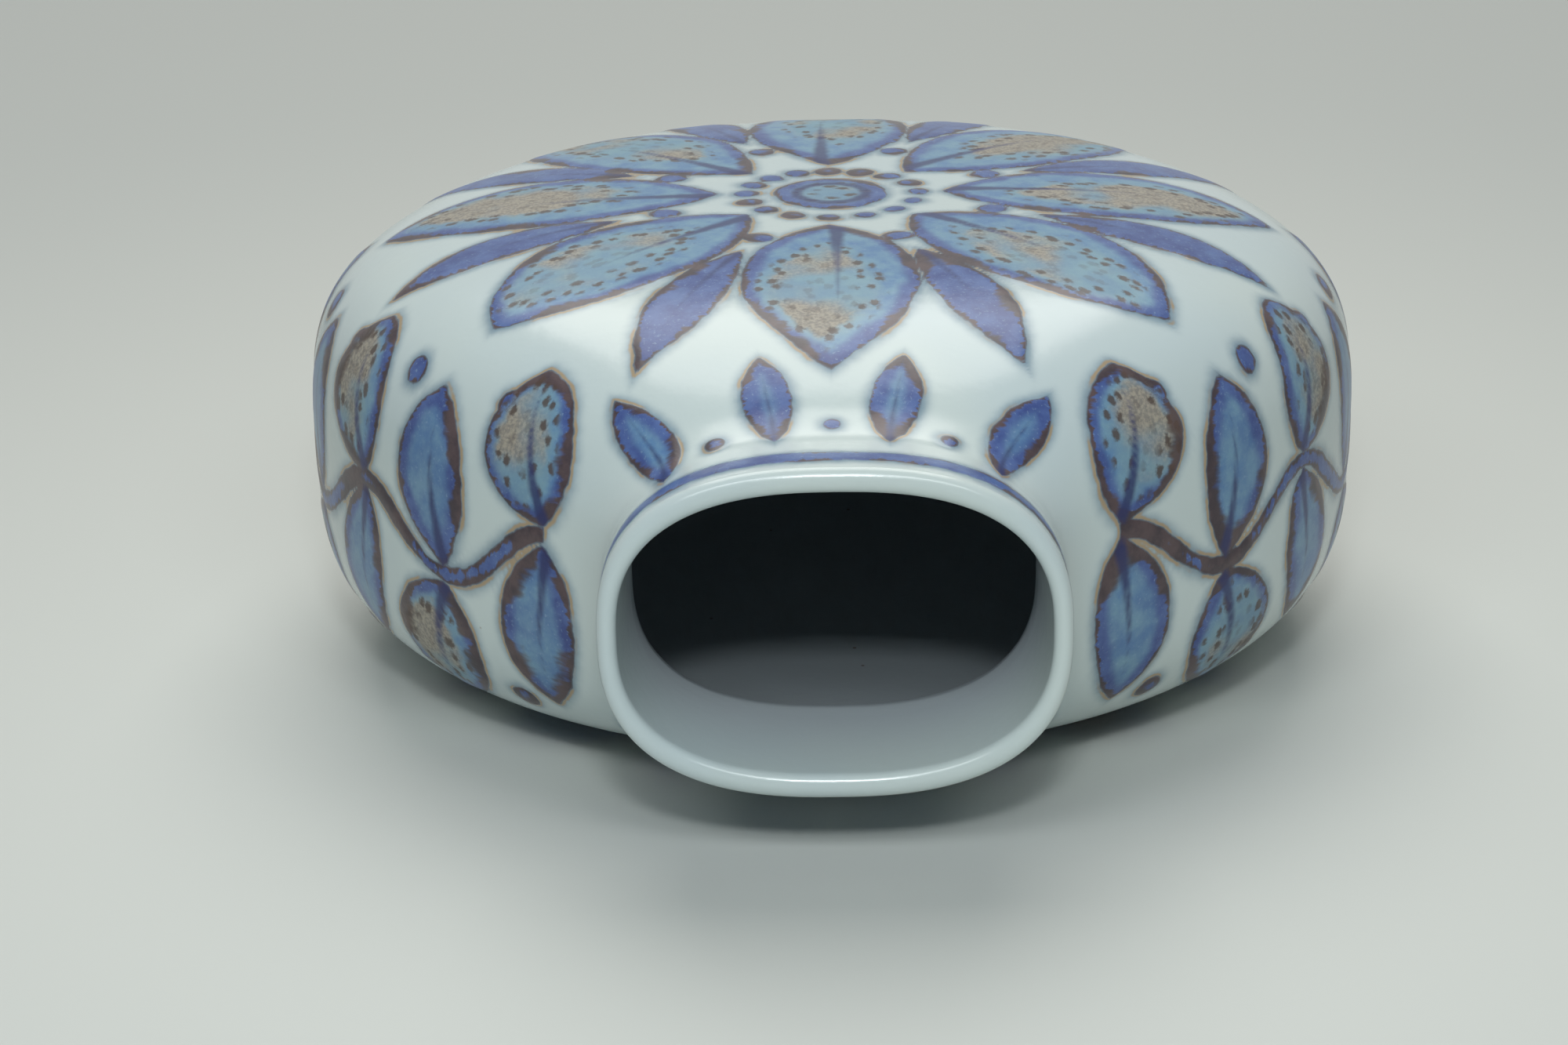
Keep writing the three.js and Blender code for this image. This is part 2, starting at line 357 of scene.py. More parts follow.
def face_chart(across, height, through):
    """Distance over the surface from a face's middle, its angle, and where the point lies on the luted edge.

    The profile from the middle to the edge is measured once, as length against the direction to its points,
    and each point reads its length by its own direction. The edge is measured the same way round its ellipse.
    """
    profile_samples, edge_samples = 4000, 2000
    out = np.sin(np.linspace(0, math.pi / 2, profile_samples))
    deep = (1 - out**FACE_CROWN) ** (1 / EDGE_FULLNESS)
    mean_reach = (BODY_WIDTH / 2 + BODY_HALF_HEIGHT) / 2
    profile_length = run_lengths(out * mean_reach, deep * BODY_DEPTH / 2)
    wide = across / (BODY_WIDTH / 2)
    tall = (height - BODY_MIDDLE) / BODY_HALF_HEIGHT
    direction = np.arctan2(np.hypot(wide, tall), np.abs(through) / (BODY_DEPTH / 2))
    from_middle = np.interp(direction, np.arctan2(out, deep), profile_length)

    round_edge = np.linspace(-math.pi / 2, math.pi / 2, edge_samples)
    edge_length = run_lengths(np.cos(round_edge) * BODY_WIDTH / 2, np.sin(round_edge) * BODY_HALF_HEIGHT)
    edge_start = np.interp(VINE_START, round_edge, edge_length)
    along_edge = edge_start - np.interp(np.arctan2(tall, np.abs(wide)), round_edge, edge_length)
    off_edge = (profile_length[-1] - from_middle) * np.where(through < 0, -1, 1)
    return from_middle, np.arctan2(tall, wide), along_edge, off_edge


def paint_wheel(work, radius, angle):
    """A wheel of petals round an eye: broad almonds with pale hearts, slim ones in their gaps, and beads."""
    eye_chart = (radius * np.cos(angle), radius * np.sin(angle))
    eye_line = EYE_LINE_HALF_WIDTH - np.abs(radius - EYE_LINE_RADIUS)
    eye_heart = EYE_HEART_RADIUS - radius
    work.shape(EYE_RADIUS - radius, eye_chart, tone=0.5, rim=0.6, heart=eye_heart, line=eye_line)

    along, aside, chart = spoke(radius, angle, 2 * WHEEL_PETALS, 0)
    work.shape(bead(along - EYE_BEADS_OUT, aside, EYE_BEAD_RADIUS), chart, tone=0, rim=0.5)

    along, aside, chart = spoke(radius, angle, WHEEL_PETALS, math.pi / WHEEL_PETALS)
    slim_petal = almond(along - SLIM_PETAL_START, aside, **SLIM_PETAL)
    slim_vein = tapered_line(along - SLIM_PETAL_START, aside, **SLIM_PETAL_VEIN)
    work.shape(slim_petal, chart, tone=0.15, rim=0.7, line=slim_vein)
    work.shape(bead(along - GAP_BEADS_OUT, aside, GAP_BEAD_RADIUS), chart, tone=0, rim=0.5)

    along, aside, chart = spoke(radius, angle, WHEEL_PETALS, 0)
    petal = almond(along - PETAL_START, aside, **PETAL)
    heart = almond(along - PETAL_HEART_START, aside - PETAL_HEART_ASIDE, **PETAL_HEART)
    midrib = tapered_line(along - MIDRIB_START, aside - MIDRIB_ASIDE, **MIDRIB)
    work.shape(petal, chart, tone=0.8, rim=0.65, heart=heart, line=midrib)


def paint_vine(work, along, off):
    """A stem that swings to and fro as a sine along the edge, with two almond leaves on each crest.

    Each leaf is bent by a parabola along its length, and the one outside the swing has a pale heart.
    """
    pace = 2 * math.pi / VINE_WAVE
    swing = VINE_SWING * np.sin(pace * along)
    lean = np.sqrt(1 + (VINE_SWING * pace * np.cos(pace * along)) ** 2)
    vine_length = VINE_BAYS * VINE_WAVE / 2
    ends = np.minimum(along, vine_length - along) - VINE_WAVE / 4
    stem = np.minimum(STEM_HALF_WIDTH - np.abs(off - swing) / lean, ends)
    work.shape(stem, (along, off), tone=0.1, rim=1.0)
    for bay in range(VINE_BAYS):
        side = 1 if bay % 2 == 0 else -1
        ahead = along - (bay + 0.5) * VINE_WAVE / 2
        for way, (length, half_width, tilt, tone) in ((side, SANDY_LEAF), (-side, BLUE_LEAF)):
            up = (off - side * VINE_SWING) * way
            forward = up * math.cos(tilt) + ahead * math.sin(tilt) - LEAF_STALK
            bend = LEAF_BEND * (1 - (2 * forward / length - 1) ** 2)
            aside = ahead * math.cos(tilt) - up * math.sin(tilt) - np.maximum(bend, -LEAF_BEND)
            leaf = almond(forward, aside, length, half_width)
            heart_size = (length - LEAF_HEART_SHORTER, half_width - LEAF_HEART_NARROWER)
            heart = almond(forward - LEAF_HEART_START, aside - LEAF_HEART_ASIDE, *heart_size)
            vein = tapered_line(forward, aside - LEAF_VEIN_ASIDE, **LEAF_VEIN)
            chart = (forward + (2 * bay + (way > 0)) * CHART_STEP, aside)
            work.shape(leaf, chart, tone, rim=1.0, heart=heart if way == side else UNPAINTED, line=vein)
        berry = bead(ahead - VINE_WAVE / 4, np.abs(off) - BERRY_OFF, BERRY_RADIUS)
        work.shape(berry, (along, off), tone=0, rim=0.8)


def paint_garland(work, around, below):
    """Four slender almond leaves that hang from the neck, with a bead between each pair."""
    number = np.clip(np.floor(around / GARLAND_SPACING), -2, 1)
    from_leaf = around - (number + 0.5) * GARLAND_SPACING
    aside = from_leaf * (NECK_HALF_WIDTH + GARLAND_SPREAD * below)
    chart = (below + number * CHART_STEP, aside)
    leaf = almond(below - GARLAND_LEAF_START, aside, **GARLAND_LEAF)
    work.shape(leaf, chart, tone=0.6, rim=0.6, line=tapered_line(below, aside, **GARLAND_VEIN))
    from_bead = around - np.clip(np.round(around / GARLAND_SPACING), -1, 1) * GARLAND_SPACING
    bead_aside = from_bead * (NECK_HALF_WIDTH + GARLAND_BEAD_OUT)
    work.shape(bead(below - GARLAND_BEAD_BELOW, bead_aside, GARLAND_BEAD_RADIUS), chart, tone=0, rim=0.3)


def paint_body(across, height, through):
    """The brushwork of a surface, drawn by a slightly unsteady hand: the wheel, the vine and the garland.

    The hand's wander is a sum of slow sines of the place, so it is the same on both sides of a join.
    """
    work = Brushwork(across.shape)
    radius, angle, along, off = face_chart(across, height, through)
    wander = np.sin(across / 7.1 + height / 9.3)
    wander = wander + np.sin(height / 6.4 - through / 8.7 + 1) + np.sin(across / 11 - 2)
    paint_wheel(work, radius + WHEEL_SWAY * wander, angle)
    paint_vine(work, along + VINE_SWAY_ALONG * wander, off + VINE_SWAY_OFF * wander)

    around = np.arctan2(across / NECK_HALF_WIDTH, np.abs(through) / NECK_HALF_DEPTH)
    out = np.hypot(across / NECK_HALF_WIDTH, through / NECK_HALF_DEPTH) - 1
    lower_half = np.where(height < BODY_MIDDLE, HEIGHT, 0)  # too far below for the garland to be drawn there
    below = GARLAND_TOP - height + out * NECK_HALF_DEPTH + lower_half
    paint_garland(work, around, below + GARLAND_SWAY * wander)
    work.layers["edge_mm"] += STROKE_SWAY * wander
    return work


class GlazeValue:
    """One value in a finish's node tree. Arithmetic on it adds Math nodes, and node() adds any other kind."""

    def __init__(self, tree, socket=None):
        self.tree = tree
        self.socket = socket

    def node(self, kind, settings=None, inputs=None, output=0):
        """Adds a node: its settings first, then a value or a link for each of its sockets that is named."""
        made = self.tree.nodes.new(kind)
        for name, value in (settings or {}).items():
            setattr(made, name, value)
        for key, value in (inputs or {}).items():
            if isinstance(value, GlazeValue):
                self.tree.links.new(value.socket, made.inputs[key])
            else:
                made.inputs[key].default_value = value
        return GlazeValue(self.tree, made.outputs[output])

    def math(self, operation, *values):
        """A Math node that works on these values in turn."""
        return self.node("ShaderNodeMath", {"operation": operation}, dict(enumerate(values)))

    def __add__(self, other):
        return self.math("ADD", self, other)

    def __sub__(self, other):
        return self.math("SUBTRACT", self, other)

    def __rsub__(self, other):
        return self.math("SUBTRACT", other, self)

    def __mul__(self, other):
        return self.math("MULTIPLY", self, other)

    __radd__ = __add__
    __rmul__ = __mul__

    def rises(self, low, high):
        """0 below the low value, 1 above the high one, and a smooth step between them."""
        ends = {"Value": self, "From Min": low, "From Max": high}
        return self.node("ShaderNodeMapRange", {"interpolation_type": "SMOOTHSTEP"}, ends)

    def blends(self, base, colour):
        """The base colour with another laid over it, as thickly as this value says."""
        factor, first_colour, second_colour, mixed_colour = 0, 6, 7, 2  # Mix's sockets for colours
        inputs = {factor: self, first_colour: base, second_colour: colour}
        return self.node("ShaderNodeMix", {"data_type": "RGBA"}, inputs, output=mixed_colour)

    def layer(self, name):
        """One layer of the brushwork, as the mesh holds it."""
        return self.node("ShaderNodeAttribute", {"attribute_name": name}, output="Fac")

    def object_place(self):
        """The place on the piece itself, in metres."""
        return self.node("ShaderNodeTexCoord", output="Object")

    def grain(self, size, detail=2.0, crispness=0.5):
        """Cloudy noise about 0.5 whose patches are about so many millimetres across."""
        scale = 1 / (size * MM)
        inputs = {"Vector": self.object_place(), "Scale": scale, "Detail": detail, "Roughness": crispness}
        return self.node("ShaderNodeTexNoise", inputs=inputs)

    def chart(self, run, side):
        """The place on a painted shape's own chart, in steps of so many millimetres along and aside."""
        inputs = {"X": self.layer("run_mm") * (1 / run), "Y": self.layer("side_mm") * (1 / side)}
        return self.node("ShaderNodeCombineXYZ", inputs=inputs)

    def seen_directly(self):
        """1 for what is seen straight, mirrored or through glass, and 0 for light that falls on a piece."""
        paths = [f"Is {kind} Ray" for kind in ("Camera", "Glossy", "Transmission")]
        camera, mirror, glass = [self.node("ShaderNodeLightPath", output=path) for path in paths]
        return (camera + mirror + glass).rises(0, 1)


def pigment(red, green, blue):
    """A colour as it looks on a screen, 0 to 255, in the linear values that a shader takes."""
    levels = np.array([red, green, blue]) / 255
    return (*np.where(levels < 0.04, levels / 12.92, ((levels + 0.055) / 1.055) ** 2.4), 1.0)


def new_finish(name):
    """A finish with nothing in it yet, and the value that its nodes start from."""
    finish = bpy.data.materials.new(name)
    finish.use_nodes = True
    return finish, GlazeValue(finish.node_tree)


FINE_RELIEF = 0.2


def feed_shader(finish, colour, rough, relief, relief_strength):
    """Links a finish's colour, roughness and fine relief to its shader, the relief through a bump."""
    bump_inputs = {"Strength": relief_strength, "Distance": FINE_RELIEF * MM, "Height": relief}
    bump = relief.node("ShaderNodeBump", inputs=bump_inputs)
    shader = finish.node_tree.nodes["Principled BSDF"]
    for value, socket in ((colour, "Base Color"), (rough, "Roughness"), (bump, "Normal")):
        finish.node_tree.links.new(value.socket, shader.inputs[socket])


GLAZE_TONES = (pigment(195, 209, 211), pigment(201, 213, 211))
# The inside's greyer glaze: partly a thinner coat, partly painted shade of the hollow.
THIN_GLAZE_AND_SHADE = pigment(173, 181, 186)
IRON_SPECK = pigment(112, 82, 60)
HALO_BLUE = pigment(96, 126, 147)
OCHRE = pigment(172, 141, 92)
DEEP_COBALT = (pigment(50, 69, 130), pigment(78, 103, 158))
SKY_COBALT = (pigment(84, 124, 168), pigment(116, 154, 176))
COBALT_GRAIN = pigment(138, 164, 190)
SEA_GREEN = pigment(129, 159, 163)
SAND_TONES = (pigment(130, 121, 110), pigment(164, 153, 135))
PIT_BROWN = pigment(71, 57, 50)
BURNT_IRON = (pigment(56, 40, 35), pigment(84, 62, 53))
INK_BLUE = pigment(22, 33, 90)

SPECK_SPACING = 14.0
HALO_REACH = 3.4
RIM_LEAST = 0.7
RIM_SPREAD = 4.2
COMB_TOOTH = (1.1, 4.5)  # along and aside on a shape's chart
PIT_SPACING = (3.8, 2.7)
GLAZE_ROUGHNESS = 0.2
PAINT_ROUGHNESS = 0.1
SAND_ROUGHNESS = 0.16
MOTTLE_ROUGHNESS = 0.05


def plain_glaze(start):
    """The tin glaze alone, in two close tones that change over a few centimetres."""
    return start.grain(size=45).rises(0.35, 0.65).blends(*GLAZE_TONES)


def make_painted_glaze():
    """Tin glaze with iron specks, thin inside and greyed there partly as painted shade, and brushwork melted
    into it.

    From outside in, a shape has a halo, an ochre hairline, a brown rim, cobalt that thins out to sky blue,
    and a sandy heart with pits round it. Depths are in millimetres, and noise makes every border uneven.
    """
    finish, start = new_finish("painted_glaze")
    broad, fine, cloud = [start.grain(size) for size in (9, 2.2, 17)]
    sand = start.grain(0.6, detail=3)
    mottle = start.grain(5, detail=4, crispness=0.6)
    comb_inputs = {"Vector": start.chart(*COMB_TOOTH), "Scale": 1.0, "Detail": 2.0}
    comb = start.node("ShaderNodeTexNoise", {"noise_dimensions": "2D"}, comb_inputs)
    edge = start.layer("edge_mm") + 1.6 * (broad - 0.5) + 0.8 * (fine - 0.5)
    painted = edge.rises(-0.25, 0.25)
    rim_swell = cloud.rises(0.4, 0.62) * broad.rises(0.36, 0.6)
    rim_width = start.layer("rim") * (RIM_LEAST + RIM_SPREAD * rim_swell)

    # The bare glaze, with what bleeds into it round a shape
    # Inside, the glaze greys towards the thin coat's colour: partly a thinner glaze, partly painted shade of
    # the hollow.
    glaze = start.layer("thin_coat_and_shade").blends(plain_glaze(start), THIN_GLAZE_AND_SHADE)
    speck_inputs = {"Vector": start.object_place(), "Scale": 1 / (SPECK_SPACING * MM)}
    specks = start.node("ShaderNodeTexVoronoi", inputs=speck_inputs)
    glaze = ((1 - specks.rises(0.018, 0.034)) * 0.7).blends(glaze, IRON_SPECK)
    halo = edge.rises(-HALO_REACH, 0.4)
    glaze = (halo * halo * 0.9).blends(glaze, HALO_BLUE)
    hairline = edge.rises(-0.85, -0.4) * (1 - edge.rises(-0.25, 0.05)) * rim_width.rises(0.5, 1.8)
    glaze = (hairline * 0.75).blends(glaze, OCHRE)

    # The cobalt fill, deep at its edge and thin in the middle
    deep, sky = [mottle.rises(0.3, 0.7).blends(*tones) for tones in (DEEP_COBALT, SKY_COBALT)]
    thin = start.layer("tone") * edge.rises(0.6, 4.4) + 0.6 * (broad - 0.5)
    fill = thin.rises(0.1, 0.75).blends(deep, sky)
    fill = (sand.rises(0.58, 0.74) * 0.4).blends(fill, COBALT_GRAIN)

    # The sandy heart, with pits that crowd along its border
    heart = start.layer("heart_mm") + 3.0 * (fine - 0.5) + 3.0 * (broad - 0.5)
    sandy = sand.rises(0.34, 0.66).blends(*SAND_TONES)
    fill = (heart.rises(-2.4, 0.4) * 0.45).blends(fill, SEA_GREEN)
    fill = (heart.rises(-0.6, 1.4) * cloud.rises(0.4, 0.58) * 0.9).blends(fill, sandy)
    pit_inputs = {"Vector": start.chart(*PIT_SPACING), "Scale": 1.0, "Randomness": 0.9}
    pits = start.node("ShaderNodeTexVoronoi", {"voronoi_dimensions": "2D"}, pit_inputs)
    crowd = heart.rises(-2.8, -1.2) * (1 - 0.7 * heart.rises(1.6, 3.2))
    pit = (1 - (pits + 0.5 * (fine - 0.5) + 0.35 * (sand - 0.5)).rises(0.14, 0.38)) * crowd
    fill = (pit * 0.9).blends(fill, PIT_BROWN)

    # The burnt rim, combed inwards, and the dark lines of a full brush
    rim = 1 - (edge + 2.2 * (comb - 0.5)).rises(0.5 * rim_width, 1.1 * rim_width)
    burnt = mottle.rises(0.35, 0.65).blends(*BURNT_IRON)
    fill = (rim * rim_width.rises(0.1, 0.5) * 0.92).blends(fill, burnt)
    line = (start.layer("line_mm") + 0.8 * (fine - 0.5)).rises(-0.7, 0.7)
    fill = (line * 0.88).blends(fill, INK_BLUE)

    rough = GLAZE_ROUGHNESS + PAINT_ROUGHNESS * painted + MOTTLE_ROUGHNESS * (mottle - 0.5)
    rough = rough + SAND_ROUGHNESS * (heart.rises(-0.4, 1.0) * painted)
    relief = 0.4 * start.grain(size=7) + 0.5 * fine + 0.25 * painted * (sand - pit)
    feed_shader(finish, painted.blends(glaze, fill), rough, relief, relief_strength=0.35)
    return finish


painted_glaze = make_painted_glaze()
PAINT_RELIEF = 0.22
RELIEF_START = -1.2
RELIEF_RUN = 2.6


def raise_paint(points, paint):
    """The grid with its brushwork raised along the normals, by a smooth step over the edge of each shape."""
    inked = np.clip((paint["edge_mm"] - RELIEF_START) / RELIEF_RUN, 0, 1)
    relief = PAINT_RELIEF * inked**2 * (3 - 2 * inked)
    return points + outward_normals(points) * relief[..., None] * MM


def half_wall(section, low, grid, first_angle):
    """Half ovals of a section from a low height to the neck join, worked out one step past their borders."""
    levels, columns = grid
    heights = past_ends(even_heights(section, low, NECK_JOIN_HEIGHT, levels))[:, None]
    angle = first_angle + past_ends(np.linspace(0, math.pi, columns))[None, :]
    across, through = oval(*section(heights), angle)
    return across, heights + 0 * across, through


def make_shell(name, first_angle):
    """One half of the body: grids of half ovals outside and inside, with flat caps where they end.

    The step past the grids' borders gives true normals at the joins. Near the inner floor the wall's normals
    turn to the floor's by a square law, as on a rounded corner.
    """
    outer_wall = half_wall(outside, BASE_HEIGHT, OUTER_GRID, first_angle)
    paint = paint_body(*outer_wall).layers
    outer = raise_paint(place(*outer_wall), paint)
    inner_wall = half_wall(inside, FLOOR_HEIGHT, INNER_GRID, first_angle)
    inner = place(*inner_wall)
    above_floor = trimmed(inner_wall[1])[..., None] - FLOOR_HEIGHT
    near_floor = np.clip(1 - above_floor / FLOOR_ROUNDING, 0, 1) ** 2
    inner_facing = -trimmed(outward_normals(inner)) * (1 - near_floor) + UP_THE_VASE * near_floor

    outer_index = np.arange(math.prod(OUTER_GRID)).reshape(OUTER_GRID)
    inner_index = np.arange(math.prod(INNER_GRID)).reshape(INNER_GRID) + outer_index.size
    quads = np.concatenate([grid_quads(outer_index), grid_quads(inner_index)[:, ::-1]])
    base = outer_index[0, ::-1]
    floor = inner_index[0]
    neck = np.concatenate([outer_index[-1], inner_index[-1, ::-1]])
    outer_seam = [outer_index[::-1, -1], outer_index[:, 0]]
    inner_seam = [inner_index[::-1, 0], inner_index[:, -1]]
    seam = np.concatenate(outer_seam + inner_seam)

    plain = Brushwork(inner_index.size).layers
    # The inside takes the greyer thin-coat glaze, partly painted shade of the hollow.
    plain["thin_coat_and_shade"] += 1
    layers = {key: np.concatenate([trimmed(paint[key]).ravel(), plain[key]]) for key in paint}
    walls = [trimmed(outer), trimmed(inner)]
    facing = [trimmed(outward_normals(outer)), unit(inner_facing)]
    points, normals = [np.concatenate([grid.reshape(-1, 3) for grid in grids]) for grids in (walls, facing)]
    return make_piece(name, points, normals, quads, layers, painted_glaze, caps=[base, floor, neck, seam])


shells = (("glazed_front", "front_shell", 0.0), ("glazed_back", "back_shell", math.pi))
for shell_name, node, first_angle in shells:
    shell = make_shell(shell_name, first_angle)
    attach(shell, "root")
    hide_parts(node)

# The neck collar
# A short oval neck of the same clay, thrown as a ring, squeezed oval and luted on the shoulder. Its lip is
# rounded with a wet finger, and one plain cobalt stripe is painted round it.

COLLAR_COLUMNS = 2 * (OUTER_GRID[1] - 1)
COLLAR_LEVELS = 40
LIP_STEPS = 18
STRIPE_HEIGHT = 181.0
STRIPE_HALF_WIDTH = 2.2


def ring_quads(levels, columns):
    """The quads of a grid that closes on itself both ways, as a ring does."""
    index = np.arange(levels * columns).reshape(levels, columns)
    closed = np.concatenate([index, index[:1]])
    return grid_quads(np.concatenate([closed, closed[:, :1]], axis=1))


def make_collar():
    """A ring whose profile runs up the outer wall, over the lip by half a circle, and down the bore.

    The profile and the turn round it are worked out one step past their ends, for true normals there.
    """
    heights = past_ends(np.linspace(NECK_JOIN_HEIGHT, LIP_START, COLLAR_LEVELS))[:-1]
    turn = np.linspace(0, math.pi, LIP_STEPS)[1:-1]
    inward = (1 - np.cos(turn)) / 2
    wide, deep, width_power, depth_power = outside(heights)
    inner_wide, inner_deep, inner_width_power, inner_depth_power = inside(heights[::-1])
    square = np.full(turn.shape, NECK_SQUARENESS)
    profile = [
        np.concatenate([wide, wide[-1] + (MOUTH_HALF_WIDTH - wide[-1]) * inward, inner_wide]),
        np.concatenate([deep, deep[-1] + (MOUTH_HALF_DEPTH - deep[-1]) * inward, inner_deep]),
        np.concatenate([width_power, square, inner_width_power]),
        np.concatenate([depth_power, square, inner_depth_power]),
    ]
    heights = np.concatenate([heights, LIP_START + LIP_ROUNDING * np.sin(turn), heights[::-1]])[:, None]
    angle = past_ends(np.linspace(0, 2 * math.pi, COLLAR_COLUMNS, endpoint=False))[None, :]
    across, through = oval(*[part[:, None] for part in profile], angle)
    heights = heights + 0 * across

    work = paint_body(across, heights, through)
    stripe = STRIPE_HALF_WIDTH - np.abs(heights - STRIPE_HEIGHT)
    work.shape(stripe, (across, heights), tone=0.3, rim=0.3)
    on_outside = np.arange(len(heights))[:, None] <= COLLAR_LEVELS
    work.layers["edge_mm"] = np.where(on_outside, work.layers["edge_mm"], UNPAINTED)
    # Painted shade: down the bore the glaze greys more the deeper it goes, most at the join.
    work.layers["thin_coat_and_shade"] += np.where(on_outside, 0, 1 - up_neck(heights))
    wall = raise_paint(place(across, heights, through), work.layers)
    points, normals = trimmed(wall), trimmed(outward_normals(wall))
    layers = {key: trimmed(values) for key, values in work.layers.items()}
    return make_piece("glazed_neck", points, normals, ring_quads(*points.shape[:2]), layers, painted_glaze)


collar = make_collar()
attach(collar, "root")
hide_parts("neck_collar")

# The foot ring
# A low oval ring of the same clay, luted under the base, on which the vase stands. Glaze runs down its sides,
# and the standing face is wiped bare so that it doesn't stick in the kiln.

FOOT_HALF_WIDTH = 37.0
FOOT_HALF_DEPTH = 27.0
FOOT_RING_WIDTH = 7.0
FOOT_FLARE = 1.5
FOOT_FILLET = 2.2
FOOT_EASED_EDGE = 0.8
FOOT_EASED_ROWS = 4
FOOT_SWEEP = 5
BARE_HEIGHT = 1.3
SLOPE_STEP = 0.25
FOOT_COLUMNS = 360
FOOT_WALL_STEPS = 22
CLAY_TONES = (pigment(172, 155, 128), pigment(198, 185, 161))
CLAY_STAIN = pigment(157, 135, 107)
GLAZE_LAP = pigment(162, 158, 146)
FOOT_GLAZE_ROUGHNESS = 0.14
CLAY_ROUGHNESS = 0.66


def body_height_at(across, through):
    """The height of the body's underside over a point, found by halving between base and middle."""
    halvings = 40
    low = np.full(across.shape, BASE_HEIGHT)
    high = np.full(across.shape, BODY_MIDDLE)
    for _ in range(halvings):
        middle = (low + high) / 2
        wide, deep, width_power, depth_power = outside(middle)
        covered = np.abs(across / wide) ** width_power + np.abs(through / deep) ** depth_power < 1
        high = np.where(covered, middle, high)
        low = np.where(covered, low, middle)
    return high


def underside_slope(ahead, behind):
    """The slope of the body's underside, from its heights a step ahead of a place and a step behind it."""
    return (body_height_at(*ahead) - body_height_at(*behind)) / (2 * SLOPE_STEP)


def underside_normals(across, through):
    """Unit normals of the body's underside: straight down, tipped by its slopes across and through."""
    slope_across = underside_slope((across + SLOPE_STEP, through), (across - SLOPE_STEP, through))
    slope_through = underside_slope((across, through + SLOPE_STEP), (across, through - SLOPE_STEP))
    return unit(np.stack([slope_across, np.ones(across.shape), slope_through], axis=-1))


def make_bare_clay():
    """Glaze on the ring's sides that gives way to sandy fired clay at the standing face."""
    finish, start = new_finish("foot_glaze_and_clay")
    grog = start.grain(0.9, detail=4, crispness=0.65)
    clay = grog.rises(0.35, 0.65).blends(*CLAY_TONES)
    clay = start.grain(size=6).rises(0.5, 0.7).blends(clay, CLAY_STAIN)
    bare = (start.layer("edge_mm") + 1.2 * (start.grain(size=3) - 0.5)).rises(-0.3, 0.3)
    lap = start.layer("edge_mm").rises(-1.6, -0.2) * 0.6
    glaze = lap.blends(plain_glaze(start), GLAZE_LAP)
    rough = FOOT_GLAZE_ROUGHNESS + CLAY_ROUGHNESS * bare
    feed_shader(finish, bare.blends(glaze, clay), rough, grog * bare, relief_strength=0.5)
    return finish


def make_foot():
    """A ring whose profile goes up the outer wall, in along the body's underside and down the well.

    The outer wall leans out by the flare, and both sweep into the body by the fifth power of the way up.
    """
    angle = np.linspace(0, 2 * math.pi, FOOT_COLUMNS, endpoint=False)[None, :]
    up = np.linspace(0, 1, FOOT_WALL_STEPS)[:, None]
    sweep = up**FOOT_SWEEP
    past_edge = np.clip(up * FOOT_WALL_STEPS / FOOT_EASED_ROWS, 0, 1)
    ease = FOOT_EASED_EDGE * (1 - np.sin(past_edge * math.pi / 2))

    def ring(offset):
        """The foot's oval, moved out by the offset."""
        half_sizes = (FOOT_HALF_WIDTH + offset, FOOT_HALF_DEPTH + offset)
        return oval(*half_sizes, NECK_SQUARENESS, NECK_SQUARENESS, angle)

    def wall(offset, join_offset, end_pace, side):
        """Points, normals and heights of one wall. Side is 1 outside and -1 in the well, which runs down.

        The height is the way up times the join's height, plus a share of the sweep that ends it along the
        body's slope. The normals lean over into the body's by the sweep, and start straight down.
        """
        join = ring(join_offset)
        top = body_height_at(*join)
        slope = underside_slope(ring(join_offset + SLOPE_STEP), ring(join_offset - SLOPE_STEP))
        height = top * up + (end_pace * slope - top) / (FOOT_SWEEP - 1) * (sweep - up)
        across, through = ring(offset)
        points = place(across, height, through)
        closed = np.concatenate([points[:, -1:], points, points[:, :1]], axis=1)
        normals = side * outward_normals(closed)[:, 1:-1]
        normals = normals * (1 - sweep[..., None]) + underside_normals(*join) * sweep[..., None]
        normals[0] = -UP_THE_VASE
        return points[::side], unit(normals)[::side], height[::side]

    outer_join = FOOT_FLARE + FOOT_FILLET
    outer_pace = FOOT_FLARE + FOOT_SWEEP * FOOT_FILLET
    outer = wall(FOOT_FLARE * up + FOOT_FILLET * sweep - ease, outer_join, outer_pace, 1)
    well_join = -FOOT_RING_WIDTH - FOOT_FILLET
    well_pace = -FOOT_SWEEP * FOOT_FILLET
    well = wall(-FOOT_RING_WIDTH - FOOT_FILLET * sweep + ease, well_join, well_pace, -1)
    across, through = ring(np.linspace(outer_join, well_join, FOOT_WALL_STEPS)[1:-1, None])
    join_height = body_height_at(across, through)
    join_face = (place(across, join_height, through), -underside_normals(across, through), join_height)
    points, normals, height = [np.concatenate(parts) for parts in zip(outer, join_face, well)]

    work = Brushwork(height.shape)
    work.layers["edge_mm"] = BARE_HEIGHT - height
    return make_piece("foot", points, normals, ring_quads(*height.shape), work.layers, make_bare_clay())


foot = make_foot()
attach(foot, "root")
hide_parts("foot_ring")

# The studio
# A pale paper floor, painted paler under the vase as a pool of light, that runs on into a pale backdrop. A
# broad warm lamp hangs overhead and a little behind, a wide cool one stands in front, a small flash sits
# above the camera, and a long lens looks into the mouth.

FLOOR_REACH = 9.0  # this one and the two spans of the paper are in metres
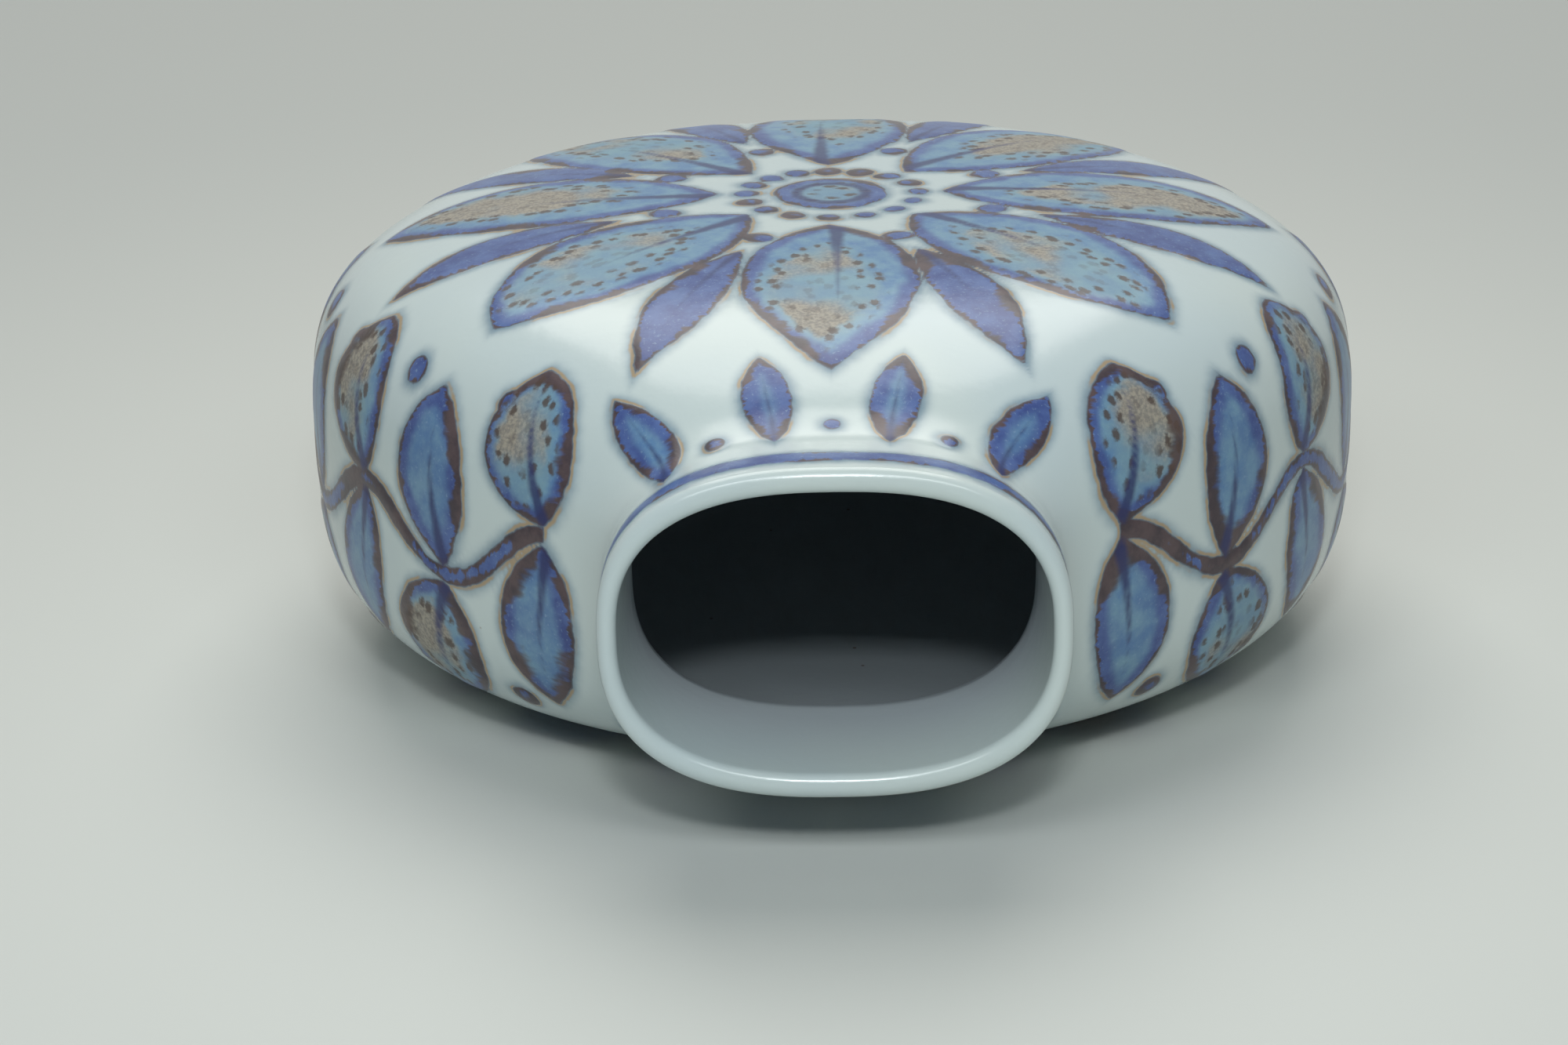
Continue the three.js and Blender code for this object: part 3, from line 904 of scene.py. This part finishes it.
# The paper is painted paler near the vase and darker further off, as a pool of light.
PAPER_LIGHT_POOL_SPAN = (0.08, 0.42)
PAPER_FADE_SPAN = (0.4, 1.5)
PAPER_LIGHT_POOL_TONES = (pigment(211, 214, 209), pigment(192, 196, 193))
PAPER_ROUGHNESS = 0.7
BACKDROP = pigment(206, 210, 208)
ROOM_SHADE = pigment(42, 46, 51)
WARM_TINT = (1.0, 0.985, 0.94)
COOL_TINT = (0.92, 0.98, 1.0)
CAMERA_PLACE = (-0.5, -630.6, 279.3)
CAMERA_PITCH = 0.3838
CAMERA_YAW = -0.01354
CAMERA_ROLL = -0.0186
CAMERA_LENS = 84.6
SENSOR_WIDTH = 36.0
NEAREST_SEEN = 10.0


def make_floor_paper():
    """Matt paper, painted paler under the vase as a pool of light, which far off fades into the backdrop's
    colour for the eye alone.
    """
    finish, start = new_finish("floor_paper")
    nodes, links = finish.node_tree.nodes, finish.node_tree.links
    shader = nodes["Principled BSDF"]
    reach_inputs = {0: start.object_place()}
    reach = start.node("ShaderNodeVectorMath", {"operation": "LENGTH"}, reach_inputs, output="Value")
    # A painted pool of light: paler paper near the vase, darker further off.
    tone = reach.rises(*PAPER_LIGHT_POOL_SPAN).blends(*PAPER_LIGHT_POOL_TONES)
    links.new(tone.socket, shader.inputs["Base Color"])
    shader.inputs["Roughness"].default_value = PAPER_ROUGHNESS
    near_paper = GlazeValue(finish.node_tree, shader.outputs[0])
    far_paper = start.node("ShaderNodeEmission", inputs={"Color": BACKDROP})
    fade = reach.rises(*PAPER_FADE_SPAN) * start.seen_directly()
    mixed = start.node("ShaderNodeMixShader", inputs={0: fade, 1: near_paper, 2: far_paper})
    links.new(mixed.socket, nodes["Material Output"].inputs["Surface"])
    return finish


floor_corners = np.array([(-1, -1, 0), (1, -1, 0), (1, 1, 0), (-1, 1, 0)]) * FLOOR_REACH
floor_corners[:, 2] = -PAINT_RELIEF * MM
floor_mesh = bpy.data.meshes.new("studio_floor")
floor_mesh.from_pydata(floor_corners.tolist(), [], [(0, 1, 2, 3)])
floor_mesh.materials.append(make_floor_paper())
studio_floor = bpy.data.objects.new("studio_floor", floor_mesh)
bpy.context.collection.objects.link(studio_floor)


def add_lamp(name, at, aim, size, power, tint):
    """A rectangular soft lamp at a place, turned to face a point. Its two sides are in millimetres too."""
    lamp = bpy.data.lights.new(name, "AREA")
    lamp.color = tint
    lamp.shape = "RECTANGLE"
    lamp.size, lamp.size_y = [length * MM for length in size]
    lamp.energy = power
    holder = bpy.data.objects.new(name, lamp)
    bpy.context.collection.objects.link(holder)
    lamp_place, target = [Vector(point) * MM for point in (at, aim)]
    facing = (target - lamp_place).to_track_quat("-Z", "Y").to_matrix().to_4x4()
    holder.matrix_world = Matrix.Translation(lamp_place) @ facing


add_lamp("ceiling_lamp", at=(-20, 480, 1060), aim=(0, 0, 0), size=(1000, 900), power=9.4, tint=WARM_TINT)
add_lamp("front_lamp", at=(-40, -850, 870), aim=(0, -40, 20), size=(1200, 220), power=5.8, tint=COOL_TINT)
add_lamp("camera_flash", at=(0, -567, 437), aim=(0, -60, 20), size=(70, 45), power=1.0, tint=COOL_TINT)

world = bpy.data.worlds.new("studio_light")
world.use_nodes = True
backdrop_tone = GlazeValue(world.node_tree).seen_directly().blends(ROOM_SHADE, BACKDROP)
world.node_tree.links.new(backdrop_tone.socket, world.node_tree.nodes["Background"].inputs["Color"])
bpy.context.scene.world = world

camera_data = bpy.data.cameras.new("camera")
camera_data.lens = CAMERA_LENS
camera_data.sensor_width = SENSOR_WIDTH
camera_data.clip_start = NEAREST_SEEN * MM
camera = bpy.data.objects.new("camera", camera_data)
bpy.context.collection.objects.link(camera)
camera_spot = Matrix.Translation([length * MM for length in CAMERA_PLACE])
turn_aside = Matrix.Rotation(-CAMERA_YAW, 4, "Z")
tip_down = Matrix.Rotation(math.pi / 2 - CAMERA_PITCH, 4, "X")
lean = Matrix.Rotation(CAMERA_ROLL, 4, "Z")
camera.matrix_world = camera_spot @ turn_aside @ tip_down @ lean
bpy.context.scene.camera = camera
bpy.context.scene.view_settings.view_transform = "Standard"
